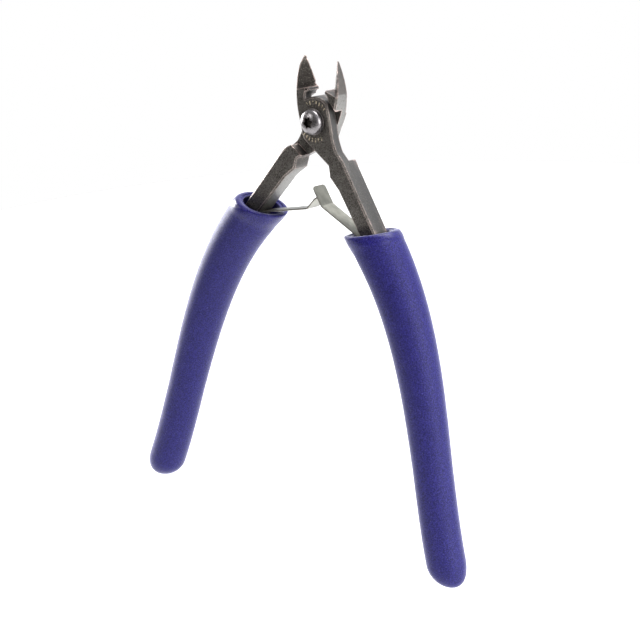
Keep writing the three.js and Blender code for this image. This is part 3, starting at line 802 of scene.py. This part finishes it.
def build_leaf(sizes, side, name, corners, material):
    """A bent strip whose free end has rounded corners."""
    path = rounded_path([Vector(c) for c in corners], sizes.bend)
    tip_steps = 6
    last, before = path[-1], path[-2]
    along = (last - before).normalized()
    path.pop()
    stations = [(point, 0.0) for point in path]
    for i in range(tip_steps + 1):
        turn = math.pi / 2 * i / tip_steps
        back = sizes.corner * (1 - math.sin(turn))
        inset = sizes.corner * (1 - math.cos(turn))
        stations.append((last - along * back, inset))
    shape = bmesh.new()
    rings = []
    for index, (point, inset) in enumerate(stations):
        earlier = stations[max(index - 1, 0)][0]
        later = stations[min(index + 1, len(stations) - 1)][0]
        direction = (later - earlier).normalized()
        normal = Vector((-direction.y, direction.x))
        half_width = sizes.width / 2 - inset
        half_thick = sizes.thickness / 2
        soft = sizes.soft_edge
        outline = [
            (-half_width + soft, -half_thick),
            (half_width - soft, -half_thick),
            (half_width, -half_thick + soft),
            (half_width, half_thick - soft),
            (half_width - soft, half_thick),
            (-half_width + soft, half_thick),
            (-half_width, half_thick - soft),
            (-half_width, -half_thick + soft),
        ]
        ring = []
        for depth, lift in outline:
            spot = point + normal * lift
            ring.append(shape.verts.new(place(side, spot.x, depth, spot.y)))
        rings.append(ring)
    skin(shape, rings)
    return new_piece(name, shape, material)


def leaf_corners(sizes, hand):
    """Root, first bend, knee and free end of one spring, as (across, height) closed."""
    root = Vector((sizes.root_offset, -sizes.root_drop))
    down = Vector((math.sin(sizes.root_lean), -math.cos(sizes.root_lean)))
    rise, reach = getattr(sizes, f"{hand}_rise"), getattr(sizes, f"{hand}_reach")
    tip_rise, tip = getattr(sizes, f"{hand}_tip_rise"), getattr(sizes, f"{hand}_tip")
    knee = root + reach * Vector((-math.cos(rise), math.sin(rise)))
    end = knee + tip * Vector((-math.cos(tip_rise), math.sin(tip_rise)))
    return [root + down * sizes.root_length, root, knee, end]


# ---------------------------------------------------------------- operators
class PLIERS_OT_steel_halves(bpy.types.Operator):
    """Finish the two lapped steel halves"""

    bl_idname = "pliers.steel_halves"
    bl_label = "Steel halves"

    def execute(self, context):
        looks = context.scene.pliers_finishes
        # Painted light and shade for each half's sides: lighter on the rear half, darker on the front half
        # and on the rear jaw's side.
        side_light_and_shade = {
            "front": (looks.front_side_shade, looks.front_side_shade),
            "rear": (looks.rear_side_light, looks.rear_jaw_side_shade),
        }
        for body, colours in side_light_and_shade.items():
            node = f"{body}_half"
            material = ground_steel(f"ground_steel_{body}", body == "front", *colours)
            piece = broken_edges(node, f"{node}_ground", material, HALF_EDGE)
            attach(piece, body)
        return {"FINISHED"}


class PLIERS_OT_pivot(bpy.types.Operator):
    """Finish the pivot screw, its washer and its nut"""

    bl_idname = "pliers.pivot"
    bl_label = "Pivot"

    def execute(self, context):
        looks = context.scene.pliers_finishes
        # The screw's drive socket gets painted shade.
        bright = bright_steel("pivot_bright", looks.polished, 0.24, 0.40, socket=True)
        for node in ("pivot_screw", "pivot_washer", "pivot_nut"):
            piece = broken_edges(node, f"{node}_bright", bright, FITTING_EDGE)
            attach(piece, "front")
        return {"FINISHED"}


class PLIERS_OT_grips(bpy.types.Operator):
    """Make the two cushioned grips with rolled rims"""

    bl_idname = "pliers.grips"
    bl_label = "Grips"

    def execute(self, context):
        sizes = context.scene.pliers_grips
        material = cushion_vinyl("cushion_vinyl")
        for hand, (body, side) in SIDES.items():
            piece = build_grip(sizes, side, f"{hand}_cushion", material)
            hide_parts(f"{hand}_grip")
            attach(piece, body)
        return {"FINISHED"}


class PLIERS_OT_springs(bpy.types.Operator):
    """Make the two return springs and their rivets"""

    bl_idname = "pliers.springs"
    bl_label = "Return springs"

    def execute(self, context):
        sizes = context.scene.pliers_springs
        looks = context.scene.pliers_finishes
        nickel = bright_steel("spring_nickel", looks.nickel, 0.30, 0.42)
        for hand, (body, side) in SIDES.items():
            root = leaf_corners(sizes, hand)[1]
        for hand, other in (("right", "left"), ("left", "right")):
            body, side = SIDES[hand]
            piece = build_leaf(sizes, side, f"{hand}_spring", leaf_corners(sizes, hand), nickel)
            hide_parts(f"{hand}_leaf_spring")
            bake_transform(piece)
            rivet = broken_edges(f"{hand}_spring_rivet", f"{hand}_rivet", nickel, FITTING_EDGE)
            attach(rivet, body)
        return {"FINISHED"}


def pale_floor(looks):
    """Matt floor with a very faint slow variation."""
    material, tree, shader, position = new_material("pale_floor")
    slow = spread(tree, noise(tree, position, FLOOR_BUMPS, 2), 0.3, 0.7)
    body = mix_colour(tree, slow, looks.floor, tuple(FLOOR_SHADE * value for value in looks.floor))
    tree.links.new(body, shader.inputs["Base Color"])
    shader.inputs["Roughness"].default_value = 0.85
    return material


def pale_world(scene):
    """Plain pale surroundings, darker towards the front left so that the steel keeps its depth."""
    world = bpy.data.worlds.new("pale_room")
    world.use_nodes = True
    scene.world = world
    tree = world.node_tree
    background = tree.nodes["Background"]
    direction = tree.nodes.new("ShaderNodeTexCoord").outputs["Generated"]
    facing = tree.nodes.new("ShaderNodeVectorMath")
    facing.operation = "DOT_PRODUCT"
    tree.links.new(direction, facing.inputs[0])
    facing.inputs[1].default_value = Vector(ROOM_DARK_TOWARDS).normalized()
    dark = spread(tree, facing.outputs["Value"], -0.05, 0.8)
    room = mix_colour(tree, dark, ROOM_COLOUR, ROOM_DARK_COLOUR)
    seen = tree.nodes.new("ShaderNodeLightPath").outputs["Is Camera Ray"]
    shown = mix_colour(tree, seen, room, ROOM_SEEN_COLOUR)
    tree.links.new(shown, background.inputs["Color"])
    background.inputs["Strength"].default_value = 1.0


def soft_light(name, location, target, size, power):
    """A round area light aimed at a point."""
    light = bpy.data.lights.new(name, "AREA")
    light.shape = "DISK"
    light.size = size
    light.energy = power
    lamp = bpy.data.objects.new(name, light)
    lamp.location = location
    lamp.rotation_euler = (Vector(target) - Vector(location)).to_track_quat("-Z", "Y").to_euler()
    bpy.context.scene.collection.objects.link(lamp)


class PLIERS_OT_stage(bpy.types.Operator):
    """Make the pale floor, the soft lights and the camera"""

    bl_idname = "pliers.stage"
    bl_label = "Stage"

    def execute(self, context):
        scene = context.scene
        sizes = scene.pliers_stage
        low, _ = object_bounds()
        shape = bmesh.new()
        bmesh.ops.create_circle(shape, cap_ends=True, segments=96, radius=sizes.floor_radius)
        floor_middle = (*sizes.floor_shift, low.z - sizes.floor_room)
        bmesh.ops.translate(shape, verts=shape.verts[:], vec=floor_middle)
        floor = new_piece("floor", shape, pale_floor(scene.pliers_finishes))
        floor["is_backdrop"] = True
        pale_world(scene)
        middle = Vector(sizes.target)
        for name, location, width, power in LIGHTS:
            soft_light(name, location, middle, width, power)
        self.add_camera(scene, sizes, middle)
        scene.view_settings.view_transform = "Standard"
        return {"FINISHED"}

    def add_camera(self, scene, sizes, middle):
        turn, rise, roll = sizes.azimuth, sizes.elevation, sizes.roll
        back = Vector((math.sin(turn) * math.cos(rise), -math.cos(turn) * math.cos(rise), math.sin(rise)))
        right = (-back).cross(Vector((0, 0, 1))).normalized()
        up = right.cross(-back)
        rolled_right = right * math.cos(roll) + up * math.sin(roll)
        rolled_up = up * math.cos(roll) - right * math.sin(roll)
        data = bpy.data.cameras.new("camera")
        data.sensor_width = 36
        data.lens = sizes.lens
        data.clip_start = 0.01
        camera = bpy.data.objects.new("camera", data)
        turned = Matrix((rolled_right, rolled_up, back)).transposed().to_4x4()
        camera.matrix_world = Matrix.Translation(middle + back * sizes.distance) @ turned
        scene.collection.objects.link(camera)
        scene.camera = camera


class PLIERS_PT_panel(bpy.types.Panel):
    """Lists the pieces of the pliers and their sizes"""

    bl_label = "Cutting pliers"
    bl_idname = "PLIERS_PT_panel"
    bl_space_type = "VIEW_3D"
    bl_region_type = "UI"
    bl_category = "Pliers"

    def draw(self, context):
        column = self.layout.column(align=True)
        for operator in OPERATORS:
            column.operator(operator.bl_idname)
        for holder in PROPERTY_HOLDERS:
            box = self.layout.box()
            settings = getattr(context.scene, holder)
            for name in settings.bl_rna.properties.keys():
                if name not in ("rna_type", "name"):
                    box.prop(settings, name)


OPERATORS = (
    PLIERS_OT_steel_halves,
    PLIERS_OT_pivot,
    PLIERS_OT_grips,
    PLIERS_OT_springs,
    PLIERS_OT_stage,
)
PROPERTY_HOLDERS = {
    "pliers_grips": GripSizes,
    "pliers_springs": SpringSizes,
    "pliers_finishes": Finishes,
    "pliers_stage": StageSizes,
}


def register():
    for made in (*PROPERTY_HOLDERS.values(), *OPERATORS, PLIERS_PT_panel):
        bpy.utils.register_class(made)
    for holder, kind in PROPERTY_HOLDERS.items():
        setattr(bpy.types.Scene, holder, PointerProperty(type=kind))


def unregister():
    for holder in PROPERTY_HOLDERS:
        delattr(bpy.types.Scene, holder)
    for made in (PLIERS_PT_panel, *reversed(OPERATORS), *PROPERTY_HOLDERS.values()):
        bpy.utils.unregister_class(made)


def main():
    register()
    bpy.ops.pliers.steel_halves()
    bpy.ops.pliers.pivot()
    bpy.ops.pliers.grips()
    bpy.ops.pliers.springs()
    bpy.ops.pliers.stage()


if __name__ == "__main__":
    main()
